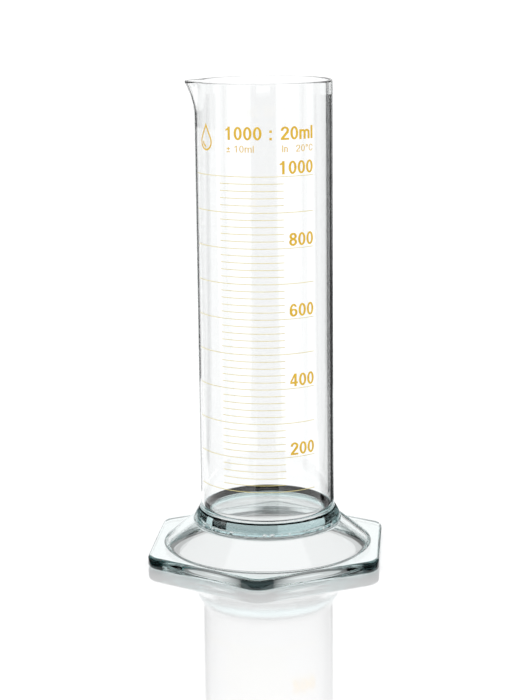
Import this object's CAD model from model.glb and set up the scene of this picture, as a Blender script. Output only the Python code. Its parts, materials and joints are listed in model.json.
import json
from math import cos, hypot, pi, radians, sin, sqrt, tan

import bpy
from mathutils import Matrix, Vector


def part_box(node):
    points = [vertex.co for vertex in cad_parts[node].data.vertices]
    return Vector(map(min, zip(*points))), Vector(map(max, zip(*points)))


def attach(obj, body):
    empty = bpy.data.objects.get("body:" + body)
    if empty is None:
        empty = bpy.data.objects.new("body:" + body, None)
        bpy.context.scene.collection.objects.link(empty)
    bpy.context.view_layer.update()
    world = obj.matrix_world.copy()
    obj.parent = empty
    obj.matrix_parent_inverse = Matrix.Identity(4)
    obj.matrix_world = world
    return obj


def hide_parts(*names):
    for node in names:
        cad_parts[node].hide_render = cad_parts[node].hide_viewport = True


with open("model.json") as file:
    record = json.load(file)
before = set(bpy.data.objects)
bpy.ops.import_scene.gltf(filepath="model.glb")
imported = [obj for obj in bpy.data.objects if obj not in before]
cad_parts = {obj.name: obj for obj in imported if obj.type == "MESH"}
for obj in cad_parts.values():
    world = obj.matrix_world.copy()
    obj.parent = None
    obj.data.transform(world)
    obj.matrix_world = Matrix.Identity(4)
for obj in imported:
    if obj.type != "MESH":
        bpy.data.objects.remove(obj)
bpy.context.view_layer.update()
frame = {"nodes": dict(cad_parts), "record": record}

# A graduated cylinder of three sealed pieces of glass with fired amber enamel, on a white glossy table.
# Metres. The vessel's axis is the Z axis, the table is z = 0, -Y faces the scale, the spout points to -X.

# ---- Sizes read from the frame ----
BORE = next(mount for mount in frame["record"]["mounts"] if mount["name"] == "vessel_bore")
COLLAR_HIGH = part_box("seal_collar")[1]
BORE_RADIUS = BORE["dims"]["r_mm"] / 1000
RIM_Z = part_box("measuring_vessel")[1].z
SEAL_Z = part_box("hexagonal_foot")[1].z
COLLAR_TOP_Z = COLLAR_HIGH.z
COLLAR_RADIUS = COLLAR_HIGH.x

# ---- Sizes that the frame doesn't state ----
VESSEL_RADIUS = 0.041
FLOOR_Z = 0.0276
FLOOR_CORNER = 0.0050
SPOUT_REACH = 0.0055
SPOUT_DROP = 0.020
SPOUT_HALF_WIDTH = radians(27)
SPOUT_ANGLE = pi  # polar angle, from +X
HEX_APOTHEM = 0.06969  # a hair less than in the frame, to stay inside its box
HEX_CORNER = 0.0122
HEX_TURN = radians(-4.8 - 90)  # polar angle of one corner
FLANGE_HEIGHT = 0.0073
FLANGE_EDGE = 0.0020
FLANGE_MARGIN = 0.0024  # how far in from the flats the plan is still hexagonal
CONE_BASE_RADIUS = 0.0636
CONE_BASE_ROUND = 0.0016
FOOT_WALL = 0.0039
FOOT_THROAT_RADIUS = 0.0375
THROAT_ROUND = 0.0006
CEILING_ROUND = 0.0008
HOLLOW_RADIUS = 0.0606
HOLLOW_CORNER = 0.0030
HOLLOW_RIM_ROUND = 0.0008
SEAL_ROUND = 0.0004  # where the foot meets the collar
COLLAR_FOOT_ROUND = 0.0005
COLLAR_TOP_WIDTH = 0.0005
COLLAR_TOP_ROUND = 0.0002
COLLAR_BELLY = 0.0200  # radius of the collar's flank
COLLAR_BELLY_INSET = 0.0016  # of its middle, from COLLAR_RADIUS

SEAM = 0.00004  # how far one glass reaches into the next at a seal, so that light passes as if they were one
SHARP = 0.00005  # rounding of an edge that is buried in a seal
WALL = VESSEL_RADIUS - BORE_RADIUS
LIP_Z = RIM_Z - SPOUT_DROP
ROUND_STEPS = 240  # segments round the vessel and the collar
FOOT_STEPS = 720  # segments round the foot, fine enough for its corners


# ---- Profiles ----
def rounded(corners, closed):
    """Points along a profile of (radius, height, rounding) corners, with an arc at each rounding.

    Each straight run gets a point close to both its ends, which keeps its shading flat.
    """
    arc_steps = 7
    guard = 0.12
    points = []
    count = len(corners)
    for index, (x, z, rounding) in enumerate(corners):
        here = Vector((x, z))
        ends = not closed and index in (0, count - 1)
        if ends or rounding == 0:
            points.append(here)
            continue
        before = Vector(corners[index - 1][:2]) - here
        after = Vector(corners[(index + 1) % count][:2]) - here
        half = before.angle(after) / 2
        reach = rounding / tan(half)
        start = here + before.normalized() * reach
        end = here + after.normalized() * reach
        centre = here + (before.normalized() + after.normalized()).normalized() * rounding / sin(half)
        points.append(start + before.normalized() * rounding * guard)
        sweep = (start - centre).angle_signed(end - centre)
        for step in range(arc_steps + 1):
            turn = -sweep * step / arc_steps
            arm = start - centre
            turned = Vector((arm.x * cos(turn) - arm.y * sin(turn), arm.x * sin(turn) + arm.y * cos(turn)))
            points.append(centre + turned)
        points.append(end + after.normalized() * rounding * guard)
    return points


def vessel_profile():
    """From the middle of the underside, up the outside, over the rim and down to the middle of the floor."""
    base = SEAL_Z - SEAM
    return rounded(
        [
            (0, base, 0),
            (VESSEL_RADIUS, base, SHARP),
            (VESSEL_RADIUS, RIM_Z, WALL * 0.499),
            (BORE_RADIUS, RIM_Z, WALL * 0.499),
            (BORE_RADIUS, FLOOR_Z, FLOOR_CORNER),
            (0, FLOOR_Z, 0),
        ],
        closed=False,
    )


def collar_profile():
    inner = VESSEL_RADIUS - SEAM
    bottom = SEAL_Z - SEAM
    return rounded(
        [
            (inner, bottom, SHARP),
            (COLLAR_RADIUS, bottom, COLLAR_FOOT_ROUND),
            (COLLAR_RADIUS - COLLAR_BELLY_INSET, (SEAL_Z + COLLAR_TOP_Z) / 2, COLLAR_BELLY),
            (VESSEL_RADIUS + COLLAR_TOP_WIDTH, COLLAR_TOP_Z, COLLAR_TOP_ROUND),
            (inner, COLLAR_TOP_Z, SHARP),
        ],
        closed=True,
    )


def foot_profile():
    """Round the whole section of the hollow foot: up its outside and down its inside."""
    run = CONE_BASE_RADIUS - COLLAR_RADIUS
    rise = SEAL_Z - FLANGE_HEIGHT
    slope = hypot(run, rise)
    ceiling_radius = COLLAR_RADIUS - FOOT_WALL * rise / slope
    ceiling_z = SEAL_Z - FOOT_WALL * run / slope
    knee_z = ceiling_z - (HOLLOW_RADIUS - ceiling_radius) * rise / run
    return rounded(
        [
            (HOLLOW_RADIUS, 0, HOLLOW_RIM_ROUND),
            (HEX_APOTHEM, 0, FLANGE_EDGE),
            (HEX_APOTHEM, FLANGE_HEIGHT, FLANGE_EDGE),
            (CONE_BASE_RADIUS, FLANGE_HEIGHT, CONE_BASE_ROUND),
            (COLLAR_RADIUS, SEAL_Z, SEAL_ROUND),
            (FOOT_THROAT_RADIUS, SEAL_Z, THROAT_ROUND),
            (FOOT_THROAT_RADIUS, ceiling_z, CEILING_ROUND),
            (ceiling_radius, ceiling_z, HOLLOW_CORNER),
            (HOLLOW_RADIUS, knee_z, HOLLOW_CORNER),
        ],
        closed=True,
    )


# ---- Plan shapes: distance from the axis at a polar angle, for a profile point ----
def round_plan(radius, _z, _angle):
    return radius


def lip_plan(radius, z, angle):
    """Round, with the spout drawn out of the top."""
    across = (angle - SPOUT_ANGLE) / SPOUT_HALF_WIDTH
    if z <= LIP_Z or abs(across) >= 1:
        return radius
    up = (z - LIP_Z) / SPOUT_DROP
    return radius + SPOUT_REACH * up**2 * cos(pi / 2 * across) ** 2


def foot_plan(radius, _z, angle):
    """A hexagon with rounded corners where the profile lies in the flange, else round."""
    inset = HEX_APOTHEM - radius
    if inset > FLANGE_MARGIN:
        return radius
    corner = HEX_CORNER - inset
    from_corner = (angle - HEX_TURN + pi / 6) % (pi / 3) - pi / 6
    centre = (HEX_APOTHEM - HEX_CORNER) / cos(pi / 6)
    from_flat = pi / 6 - abs(from_corner)
    flat = radius / cos(from_flat)
    if flat * sin(from_flat) <= centre * sin(pi / 6):
        return flat
    return centre * cos(from_corner) + sqrt(corner**2 - (centre * sin(from_corner)) ** 2)


# ---- Mesh making ----
def lathe(name, profile, plan, steps, closed):
    """Turn a profile round the axis. An open profile starts and ends on the axis."""
    mesh = bpy.data.meshes.new(name)
    vertices = []
    rings = []
    for point in profile:
        if point.x == 0:
            rings.append([len(vertices)])
            vertices.append((0, 0, point.y))
            continue
        first = len(vertices)
        for step in range(steps):
            angle = 2 * pi * step / steps
            reach = plan(point.x, point.y, angle)
            vertices.append((reach * cos(angle), reach * sin(angle), point.y))
        rings.append(list(range(first, first + steps)))
    pairs = list(zip(rings, rings[1:]))
    if closed:
        pairs.append((rings[-1], rings[0]))
    faces = []
    for low, high in pairs:
        for step in range(steps):
            following = (step + 1) % steps
            if len(low) == 1:
                faces.append((low[0], high[following], high[step]))
            elif len(high) == 1:
                faces.append((low[step], low[following], high[0]))
            else:
                faces.append((low[step], low[following], high[following], high[step]))
    mesh.from_pydata(vertices, [], faces)
    mesh.validate()
    mesh.shade_smooth()
    piece = bpy.data.objects.new(name, mesh)
    bpy.context.scene.collection.objects.link(piece)
    return piece


def add_lip_rings(profile):
    """Split the straight walls of the vessel where the spout is drawn out of them."""
    lip_steps = 14
    finer = []
    for here, following in zip(profile, profile[1:]):
        finer.append(here)
        upright = abs(here.x - following.x) < SHARP / 10
        if upright and max(here.y, following.y) > LIP_Z and min(here.y, following.y) < LIP_Z:
            top = max(here.y, following.y)
            heights = [LIP_Z + (top - LIP_Z) * step / lip_steps for step in range(lip_steps)]
            if following.y < here.y:
                heights.reverse()
            finer += [Vector((here.x, height)) for height in heights]
    finer.append(profile[-1])
    return finer


# ---- Materials ----
IOR = 1.5  # of the glass and of the enamel's glaze
WAVE_DETAIL = 1.5
ENAMEL_ROUGHNESS = 0.42
CLOUD_SCALE = 260
CLOUD_DETAIL = 4
CLOUD_LIMITS = (0.3, 0.7)  # of the noise, for the dark and the light tone
GRAIN_SCALE = 4000
GRAIN_STRENGTH = 0.3
GRAIN_HEIGHT = 0.00002


def new_material(name):
    material = bpy.data.materials.new(name)
    material.use_nodes = True
    nodes = material.node_tree.nodes
    nodes.clear()
    return material, nodes, material.node_tree.links


def product(nodes, links, first, second):
    result = nodes.new("ShaderNodeMath")
    result.operation = "MULTIPLY"
    links.new(first, result.inputs[0])
    links.new(second, result.inputs[1])
    return result.outputs["Value"]


def blend(nodes, links, factor, first, second):
    mix = nodes.new("ShaderNodeMixShader")
    links.new(factor, mix.inputs["Fac"])
    links.new(first, mix.inputs[1])
    links.new(second, mix.inputs[2])
    return mix.outputs["Shader"]


def add_waves(nodes, links, waves):
    """A bump of slow waves, as drawn or pressed glass has: (scale, height, stretch along the axis)."""
    scale, distance, stretch = waves
    place = nodes.new("ShaderNodeTexCoord")
    mapping = nodes.new("ShaderNodeMapping")
    mapping.inputs["Scale"].default_value = (1, 1, stretch)
    noise = nodes.new("ShaderNodeTexNoise")
    noise.inputs["Scale"].default_value = scale
    noise.inputs["Detail"].default_value = WAVE_DETAIL
    bump = nodes.new("ShaderNodeBump")
    bump.inputs["Strength"].default_value = 1.0
    bump.inputs["Distance"].default_value = distance
    links.new(place.outputs["Object"], mapping.inputs["Vector"])
    links.new(mapping.outputs["Vector"], noise.inputs["Vector"])
    links.new(noise.outputs["Fac"], bump.inputs["Height"])
    return bump


def ramp(nodes, links, source, zero_at, one_at):
    """From 0 to 1 as the source goes up or down from zero_at to one_at."""
    node = nodes.new("ShaderNodeMapRange")
    node.inputs["From Min"].default_value = zero_at
    node.inputs["From Max"].default_value = one_at
    links.new(source, node.inputs["Value"])
    return node.outputs["Result"]


def ring_colour(nodes, links, ring):
    """White, with a dark tint in a ring of the surface where the glass bends light the most."""
    bottom, top, inner, outer, colour = ring
    place = nodes.new("ShaderNodeTexCoord")
    split = nodes.new("ShaderNodeSeparateXYZ")
    flat = nodes.new("ShaderNodeVectorMath")
    flat.operation = "MULTIPLY"
    flat.inputs[1].default_value = (1, 1, 0)
    radius = nodes.new("ShaderNodeVectorMath")
    radius.operation = "LENGTH"
    links.new(place.outputs["Object"], split.inputs["Vector"])
    links.new(place.outputs["Object"], flat.inputs[0])
    links.new(flat.outputs["Vector"], radius.inputs[0])
    height = split.outputs["Z"]
    reach = radius.outputs["Value"]
    in_height = product(nodes, links, ramp(nodes, links, height, *bottom), ramp(nodes, links, height, *top))
    in_radius = product(nodes, links, ramp(nodes, links, reach, *inner), ramp(nodes, links, reach, *outer))
    tint = nodes.new("ShaderNodeMix")
    tint.data_type = "RGBA"
    tint.inputs["A"].default_value = (1, 1, 1, 1)
    tint.inputs["B"].default_value = (*colour, 1)
    links.new(product(nodes, links, in_height, in_radius), tint.inputs["Factor"])
    return tint.outputs["Result"]


def glass(name, colour, density, waves, ring):
    """Clear glass that takes its tint from its thickness, with slow waves and a dark ring in its surface."""
    material, nodes, links = new_material(name)
    out = nodes.new("ShaderNodeOutputMaterial")
    body = nodes.new("ShaderNodeBsdfPrincipled")
    body.inputs["Roughness"].default_value = 0.0
    body.inputs["IOR"].default_value = IOR
    body.inputs["Transmission Weight"].default_value = 1.0
    bump = add_waves(nodes, links, waves)
    links.new(bump.outputs["Normal"], body.inputs["Normal"])
    links.new(ring_colour(nodes, links, ring), body.inputs["Base Color"])
    light_path = nodes.new("ShaderNodeLightPath")
    clear = nodes.new("ShaderNodeBsdfTransparent")
    for_shadows = light_path.outputs["Is Shadow Ray"]
    surface = blend(nodes, links, for_shadows, body.outputs["BSDF"], clear.outputs["BSDF"])
    links.new(surface, out.inputs["Surface"])
    absorb = nodes.new("ShaderNodeVolumeAbsorption")
    absorb.inputs["Color"].default_value = (*colour, 1)
    absorb.inputs["Density"].default_value = density
    links.new(absorb.outputs["Volume"], out.inputs["Volume"])
    return material


def enamel(name, dark, light):
    """Fired enamel: a satin ceramic colour that clouds a little between two tones."""
    material, nodes, links = new_material(name)
    out = nodes.new("ShaderNodeOutputMaterial")
    body = nodes.new("ShaderNodeBsdfPrincipled")
    body.inputs["Roughness"].default_value = ENAMEL_ROUGHNESS
    body.inputs["IOR"].default_value = IOR
    place = nodes.new("ShaderNodeTexCoord")
    noise = nodes.new("ShaderNodeTexNoise")
    noise.inputs["Scale"].default_value = CLOUD_SCALE
    noise.inputs["Detail"].default_value = CLOUD_DETAIL
    tones = nodes.new("ShaderNodeValToRGB")
    for stop, position, tone in zip(tones.color_ramp.elements, CLOUD_LIMITS, (dark, light)):
        stop.position = position
        stop.color = (*tone, 1)
    grain = nodes.new("ShaderNodeTexNoise")
    grain.inputs["Scale"].default_value = GRAIN_SCALE
    bump = nodes.new("ShaderNodeBump")
    bump.inputs["Strength"].default_value = GRAIN_STRENGTH
    bump.inputs["Distance"].default_value = GRAIN_HEIGHT
    links.new(place.outputs["Object"], noise.inputs["Vector"])
    links.new(place.outputs["Object"], grain.inputs["Vector"])
    links.new(noise.outputs["Fac"], tones.inputs["Fac"])
    links.new(tones.outputs["Color"], body.inputs["Base Color"])
    links.new(grain.outputs["Fac"], bump.inputs["Height"])
    links.new(bump.outputs["Normal"], body.inputs["Normal"])
    links.new(body.outputs["BSDF"], out.inputs["Surface"])
    return material


# ---- The three pieces of glass ----
# Dark rings in the surface: (no tint at, full tint at) for the underside, the top, the inner and the outer
# radius, then the tint. The last one only reaches the corners of the flange, which stand out the most.
CORNER_RING = (
    (FLOOR_Z + 0.0001, FLOOR_Z + 0.0003),
    (FLOOR_Z + 0.0036, FLOOR_Z + 0.0031),
    (BORE_RADIUS - FLOOR_CORNER, BORE_RADIUS - FLOOR_CORNER + 0.0004),
    (BORE_RADIUS + 0.0003, BORE_RADIUS + 0.0002),
    (0, 0, 0),
)
SEAL_RING = (
    (COLLAR_TOP_Z - 0.0011, COLLAR_TOP_Z - 0.0010),
    (COLLAR_TOP_Z - 0.0001, COLLAR_TOP_Z - 0.0002),
    (VESSEL_RADIUS + 0.0001, VESSEL_RADIUS + 0.0002),
    (COLLAR_RADIUS + 0.0002, COLLAR_RADIUS + 0.0001),
    (0, 0, 0),
)
FLANGE_CORNERS = (
    (0.0002, 0.0010),
    (FLANGE_HEIGHT - 0.0002, FLANGE_HEIGHT - 0.0010),
    (HEX_APOTHEM + 0.0015, HEX_APOTHEM + 0.0060),
    (HEX_APOTHEM + 0.0110, HEX_APOTHEM + 0.0100),
    (0.005, 0.009, 0.0095),
)

# The glasses: (name, colour of a depth of glass, density per metre, waves, dark ring)
DRAWN_GLASS = ("drawn_glass", (0.35, 0.72, 0.74), 8, (45, 0.000003, 0.2), CORNER_RING)
SEAL_GLASS = ("seal_glass", (0.35, 0.72, 0.74), 14, (60, 0.000006, 0.5), SEAL_RING)
PRESSED_GLASS = ("pressed_glass", (0.35, 0.72, 0.72), 15, (50, 0.00003, 1.0), FLANGE_CORNERS)


def add_glass():
    vessel_outline = add_lip_rings(vessel_profile())
    vessel = lathe("measuring_vessel_glass", vessel_outline, lip_plan, ROUND_STEPS, closed=False)
    collar = lathe("seal_collar_glass", collar_profile(), round_plan, ROUND_STEPS, closed=True)
    foot = lathe("hexagonal_foot_glass", foot_profile(), foot_plan, FOOT_STEPS, closed=True)
    for piece, look, node, slot in (
        (vessel, DRAWN_GLASS, "measuring_vessel", "vessel_glass"),
        (collar, SEAL_GLASS, "seal_collar", "seal_glass"),
        (foot, PRESSED_GLASS, "hexagonal_foot", "foot_glass"),
    ):
        piece.data.materials.append(glass(*look))
        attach(piece, "root")
        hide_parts(node)


# ---- The printed enamel ----
FIGURE_TONES = ((0.76, 0.45, 0.02), (0.86, 0.56, 0.04))
LINE_TONES = ((0.76, 0.66, 0.26), (0.86, 0.76, 0.38))  # the thin lines are a paler print


def paint_enamel():
    """Give the CAD's own marks, which stay visible, their enamel."""
    bold = enamel("amber_figures", *FIGURE_TONES)
    thin = enamel("amber_lines", *LINE_TONES)
    for name, piece in frame["nodes"].items():
        if name in ("measuring_vessel", "seal_collar", "hexagonal_foot"):
            continue
        is_line = name.startswith(("line_", "minor_lines_"))
        piece.data.materials.clear()
        piece.data.materials.append(thin if is_line else bold)


# ---- Camera ----
CAMERA_PLACE = (0.0, -1.0873, 0.3561)
CAMERA_PITCH = radians(11.925)
CAMERA_ROLL = radians(-0.616)
CAMERA_YAW = radians(-0.118)
CAMERA_LENS = 94.37
CAMERA_SENSOR = 36.0
CAMERA_CLIP = (0.05, 60)


def add_camera():
    forward = Vector(
        (sin(CAMERA_YAW) * cos(CAMERA_PITCH), cos(CAMERA_YAW) * cos(CAMERA_PITCH), -sin(CAMERA_PITCH))
    )
    right = Vector((cos(CAMERA_YAW), -sin(CAMERA_YAW), 0))
    up = right.cross(forward)
    rolled_right = right * cos(CAMERA_ROLL) + up * sin(CAMERA_ROLL)
    rolled_up = up * cos(CAMERA_ROLL) - right * sin(CAMERA_ROLL)
    data = bpy.data.cameras.new("camera")
    data.lens = CAMERA_LENS
    data.sensor_width = CAMERA_SENSOR
    data.clip_start, data.clip_end = CAMERA_CLIP
    camera = bpy.data.objects.new("camera", data)
    axes = Matrix((rolled_right, rolled_up, -forward)).transposed()
    camera.matrix_world = Matrix.Translation(CAMERA_PLACE) @ axes.to_4x4()
    bpy.context.scene.collection.objects.link(camera)
    bpy.context.scene.camera = camera


# ---- Stage: table, room, cards and light ----
TABLE_Z = -0.0003  # just under the foot, so that the two surfaces don't coincide
TABLE_HALF = 12
TABLE_WHITE = (0.95, 0.95, 0.955)
TABLE_ROUGHNESS = 0.07
TABLE_MIRROR_POWER = 2.0  # how fast its mirror fades as it is seen from higher up
TABLE_GLOW = 1.08  # of the table seen through glass
WORLD_LIGHT = 1.12


def stage_mesh(name, vertices, faces, material):
    mesh = bpy.data.meshes.new(name)
    mesh.from_pydata(vertices, [], faces)
    mesh.materials.append(material)
    piece = bpy.data.objects.new(name, mesh)
    bpy.context.scene.collection.objects.link(piece)
    return piece


def compare(nodes, links, source, operation):
    """A math node that is 1 where a light path count is above or below one half."""
    test = nodes.new("ShaderNodeMath")
    test.operation = operation
    test.inputs[1].default_value = 0.5
    links.new(source, test.inputs[0])
    return test.outputs["Value"]


def grey_light(nodes, value):
    light = nodes.new("ShaderNodeEmission")
    light.inputs["Color"].default_value = (1, 1, 1, 1)
    light.inputs["Strength"].default_value = value
    return light.outputs["Emission"]


def table_material():
    """White gloss that mirrors more at a flatter angle, and shines a little when seen through the glass."""
    material, nodes, links = new_material("white_gloss")
    out = nodes.new("ShaderNodeOutputMaterial")
    matt = nodes.new("ShaderNodeBsdfDiffuse")
    matt.inputs["Color"].default_value = (*TABLE_WHITE, 1)
    gloss = nodes.new("ShaderNodeBsdfGlossy")
    gloss.inputs["Color"].default_value = (1, 1, 1, 1)
    gloss.inputs["Roughness"].default_value = TABLE_ROUGHNESS
    facing = nodes.new("ShaderNodeLayerWeight")
    facing.inputs["Blend"].default_value = 0.5
    flatter = nodes.new("ShaderNodeMath")
    flatter.operation = "POWER"
    flatter.inputs[1].default_value = TABLE_MIRROR_POWER
    light_path = nodes.new("ShaderNodeLightPath")
    links.new(facing.outputs["Facing"], flatter.inputs[0])
    surface = blend(nodes, links, flatter.outputs["Value"], matt.outputs["BSDF"], gloss.outputs["BSDF"])
    direct = compare(nodes, links, light_path.outputs["Diffuse Depth"], "LESS_THAN")
    through_glass = product(nodes, links, light_path.outputs["Is Transmission Ray"], direct)
    shown = blend(nodes, links, through_glass, surface, grey_light(nodes, TABLE_GLOW))
    links.new(shown, out.inputs["Surface"])
    return material


def add_table():
    corners = [(x * TABLE_HALF, y * TABLE_HALF, TABLE_Z) for x, y in ((-1, -1), (1, -1), (1, 1), (-1, 1))]
    stage_mesh("table", corners, [(0, 1, 2, 3)], table_material())


def room_material(name, value):
    """A grey that is seen directly through the glass, and that lights the table as white."""
    material, nodes, links = new_material(name)
    out = nodes.new("ShaderNodeOutputMaterial")
    light_path = nodes.new("ShaderNodeLightPath")
    lights_table = compare(nodes, links, light_path.outputs["Diffuse Depth"], "GREATER_THAN")
    shown = blend(nodes, links, lights_table, grey_light(nodes, value), grey_light(nodes, 1.0))
    links.new(shown, out.inputs["Surface"])
    return material


def card_material(name, value, in_reflections_only=False):
    """A grey that only the object shows, and only from above: the table's own light passes through it."""
    material, nodes, links = new_material(name)
    out = nodes.new("ShaderNodeOutputMaterial")
    clear = nodes.new("ShaderNodeBsdfTransparent")
    light_path = nodes.new("ShaderNodeLightPath")
    face = nodes.new("ShaderNodeNewGeometry")
    from_above = compare(nodes, links, face.outputs["Backfacing"], "LESS_THAN")
    direct = compare(nodes, links, light_path.outputs["Diffuse Depth"], "LESS_THAN")
    shows = product(nodes, links, from_above, direct)
    if in_reflections_only:
        reflected = compare(nodes, links, light_path.outputs["Glossy Depth"], "GREATER_THAN")
        shows = product(nodes, links, shows, reflected)
    seen = blend(nodes, links, shows, clear.outputs["BSDF"], grey_light(nodes, value))
    links.new(seen, out.inputs["Surface"])
    return material


def reflected_room_material(name, value):
    """A grey that shows in a sharp reflection only, and only if that ray set out from the object.

    Such a ray is about as long as the room's radius, and the table's reflections aren't sharp.
    """
    material, nodes, links = new_material(name)
    out = nodes.new("ShaderNodeOutputMaterial")
    clear = nodes.new("ShaderNodeBsdfTransparent")
    light_path = nodes.new("ShaderNodeLightPath")
    from_object = nodes.new("ShaderNodeMath")
    from_object.operation = "COMPARE"
    from_object.inputs[1].default_value = MIRRORED_ROOM_RADIUS
    from_object.inputs[2].default_value = OBJECT_REACH
    links.new(light_path.outputs["Ray Length"], from_object.inputs[0])
    sharp = light_path.outputs["Is Singular Ray"]
    shows = product(nodes, links, from_object.outputs["Value"], sharp)
    seen = blend(nodes, links, shows, clear.outputs["BSDF"], grey_light(nodes, value))
    links.new(seen, out.inputs["Surface"])
    return material


def hide_from_camera(piece, and_from_reflections):
    piece.visible_camera = False
    piece.visible_diffuse = False
    piece.visible_shadow = False
    piece.visible_volume_scatter = False
    piece.visible_glossy = not and_from_reflections


# The room that the glass shows: (direction from, to, height from, to, grey), first match wins. A direction is
# in degrees from straight behind the object, to the right. A height is in degrees above the table.
ROOM_RADIUS = 7
ROOM_CELL = 2.5  # degrees
ROOM = (
    (-180, 180, 0, 12.5, 1.00),
    (-37, -5, 12.5, 20, 0.85),
    (-5, 23, 12.5, 20, 0.60),
    (35, 42, 12.5, 30, 1.00),
    (-20, 20, 20, 40, 0.85),
    (-180, 180, 60, 90, 0.10),
    (-180, 180, 12.5, 60, 0.00),
)

# The room that the glass reflects: (direction from, up to a height), dark on both sides
MIRRORED_ROOM_RADIUS = 3
MIRRORED_ROOM_CELL = 5
MIRRORED_ROOM_GREY = 0.03
MIRRORED_ROOM = ((100, 60), (30, 30))
OBJECT_REACH = 0.085  # largest distance from the axis to the object's outside


def sideways(turn):
    """A direction of 0 to 360 degrees as one of -180 to 180."""
    return (turn + 180) % 360 - 180


def room_grey(turn, rise):
    aside = sideways(turn)
    return next(grey for start, end, low, high, grey in ROOM if start <= aside <= end and low <= rise <= high)


def add_dome(name, radius, cell, paint_index, materials):
    """A dome of square panels, each with its own material, and open where paint_index says None."""
    rows = int(90 / cell)
    columns = int(360 / cell)
    vertices = []
    for row in range(rows + 1):
        rise = radians(cell * row)
        across = radius * cos(rise)
        for column in range(columns):
            turn = radians(cell * column)
            vertices.append((across * sin(turn), across * cos(turn), radius * sin(rise)))
    faces = []
    paints = []
    for row in range(rows):
        for column in range(columns):
            paint = paint_index(cell * (column + 0.5), cell * (row + 0.5))
            if paint is None:
                continue
            following = (column + 1) % columns
            low = row * columns
            high = low + columns
            faces.append((low + column, low + following, high + following, high + column))
            paints.append(paint)
    dome = stage_mesh(name, vertices, faces, materials[0])
    for material in materials[1:]:
        dome.data.materials.append(material)
    dome.data.polygons.foreach_set("material_index", paints)
    return dome


def add_room():
    """A dome of large grey panels round the table, seen through the glass."""
    greys = sorted({panel[-1] for panel in ROOM})
    materials = [room_material(f"room_{index}", grey) for index, grey in enumerate(greys)]

    def paint(turn, rise):
        return greys.index(room_grey(turn, rise))

    room = add_dome("room", ROOM_RADIUS, ROOM_CELL, paint, materials)
    hide_from_camera(room, and_from_reflections=True)


def mirrored_paint(turn, rise):
    """The only material where the room is dark in reflections, or None."""
    is_dark = any(abs(sideways(turn)) > start and rise < height for start, height in MIRRORED_ROOM)
    return 0 if is_dark else None


def add_mirrored_room():
    material = reflected_room_material("reflected_room", MIRRORED_ROOM_GREY)
    dome = add_dome("reflected_room", MIRRORED_ROOM_RADIUS, MIRRORED_ROOM_CELL, mirrored_paint, [material])
    hide_from_camera(dome, and_from_reflections=False)
    dome.visible_transmission = False


# Cards that lie on the table, in metres from the axis. Sectors have directions like those of the room. Fans
# give the vessel its outlines: each lies between two straight lines that leave the vessel's edge, at
# x = EDGE, with a slope (sideways per metre away from the viewer).
EDGE = 0.040
CARD_Z = 0.0004
MIRRORED_Z = 0.0008
SECTOR_STEP = 5  # degrees
RING_Z = -0.00015  # between the table and the foot
BLACK = 0.0
DARK = 0.15
PALE = 0.25
MIRRORED_GREY = 0.03

# Fans: (side, start, slopes up to FAN_STEP, slopes from there to FAN_END)
FAN_STEP = 0.42
FAN_END = 8.0
BACK_FANS = (("right", 0.12, (0.20, 0.40), (0.20, 0.40)), ("left", 0.12, (-0.48, -0.34), (-0.60, -0.34)))
SIDE_FANS = (("right", 0.22, (0.20, 0.40), (0.20, 0.40)), ("left", 0.22, (-0.40, -0.20), (-0.40, -0.20)))

# Rings of the table under the hollow foot: (from, to, grey)
UNDER_FOOT = ((0.0, 0.054, 0.93), (0.054, 0.058, 0.70), (0.058, 0.0615, 0.25))

# Sectors that only reflections show: (name, directions, from, to)
MIRRORED_SECTORS = (
    ("mirrored_front", (162, 198), 0.14, 4),
    ("mirrored_near", (60, 300), 0.082, 0.14),
    ("mirrored_right", (24, 85), 0.12, 4),
)


def fan_point(slope, distance, quarter):
    """Where the line with this slope is at a distance, turned by quarters of a circle."""
    x = (EDGE if slope > 0 else -EDGE) + slope * distance
    turn = -pi / 2 * quarter
    return (x * cos(turn) - distance * sin(turn), x * sin(turn) + distance * cos(turn), CARD_Z)


def add_fan(name, slopes, near, far, quarter, material):
    low, high = slopes
    corners = [
        fan_point(low, near, quarter),
        fan_point(high, near, quarter),
        fan_point(high, far, quarter),
        fan_point(low, far, quarter),
    ]
    hide_from_camera(stage_mesh(name, corners, [(0, 1, 2, 3)], material), and_from_reflections=False)


def add_sector(name, turns, near, far, z, material):
    """A card between two directions (degrees from straight behind, to the right) and two distances."""
    start, end = turns
    steps = max(4, int((end - start) / SECTOR_STEP))
    vertices = []
    for step in range(steps + 1):
        turn = radians(start + (end - start) * step / steps)
        vertices.append((near * sin(turn), near * cos(turn), z))
        vertices.append((far * sin(turn), far * cos(turn), z))
    faces = [(2 * step, 2 * step + 2, 2 * step + 3, 2 * step + 1) for step in range(steps)]
    hide_from_camera(stage_mesh(name, vertices, faces, material), and_from_reflections=False)


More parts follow.
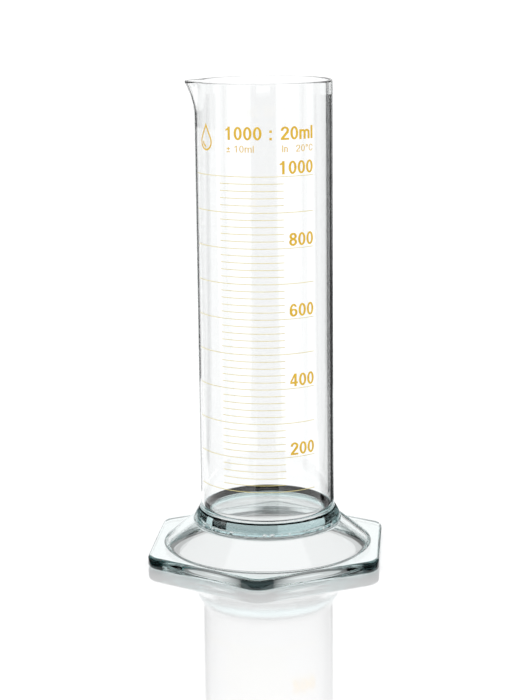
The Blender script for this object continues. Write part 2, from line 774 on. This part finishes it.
def add_area_light(name, place, aim, size, power):
    data = bpy.data.lights.new(name, "AREA")
    data.shape = "RECTANGLE"
    data.size, data.size_y = size
    data.energy = power
    light = bpy.data.objects.new(name, data)
    light.location = place
    light.rotation_euler = (Vector(aim) - Vector(place)).to_track_quat("-Z", "Y").to_euler()
    bpy.context.scene.collection.objects.link(light)


def add_world():
    world = bpy.data.worlds.new("studio")
    bpy.context.scene.world = world
    world.use_nodes = True
    background = world.node_tree.nodes["Background"]
    background.inputs["Color"].default_value = (1.0, 1.0, 1.0, 1)
    background.inputs["Strength"].default_value = WORLD_LIGHT


def add_cards():
    black = card_material("card_black", BLACK)
    dark = card_material("card_dark", DARK)
    pale = card_material("card_pale", PALE)
    mirrored = card_material("card_mirrored", MIRRORED_GREY, in_reflections_only=True)
    for quarter in range(4):
        fans, far_paint = (SIDE_FANS, dark) if quarter else (BACK_FANS, black)
        for side, start, near_slopes, far_slopes in fans:
            add_fan(f"{side}_near_{quarter}", near_slopes, start, FAN_STEP, quarter, pale)
            add_fan(f"{side}_far_{quarter}", far_slopes, FAN_STEP, FAN_END, quarter, far_paint)
    for index, (near, far, grey) in enumerate(UNDER_FOOT):
        name = f"under_{index}"
        add_sector(name, (0, 360), near, far, RING_Z, card_material(name, grey))
    for name, turns, near, far in MIRRORED_SECTORS:
        add_sector(name, turns, near, far, MIRRORED_Z, mirrored)


def add_stage():
    add_world()
    add_table()
    add_room()
    add_mirrored_room()
    add_cards()
    add_area_light("top_box", place=(0, 0.1, 1.6), aim=(0, 0, 0), size=(1.6, 1.2), power=4)


def set_render_look():
    scene = bpy.context.scene
    scene.view_settings.view_transform = "Standard"
    scene.cycles.max_bounces = 32
    scene.cycles.transmission_bounces = 28
    scene.cycles.glossy_bounces = 16
    scene.cycles.transparent_max_bounces = 24
    scene.cycles.diffuse_bounces = 4
    scene.cycles.caustics_reflective = False
    scene.cycles.blur_glossy = 0.5


add_glass()
paint_enamel()
add_camera()
add_stage()
set_render_look()
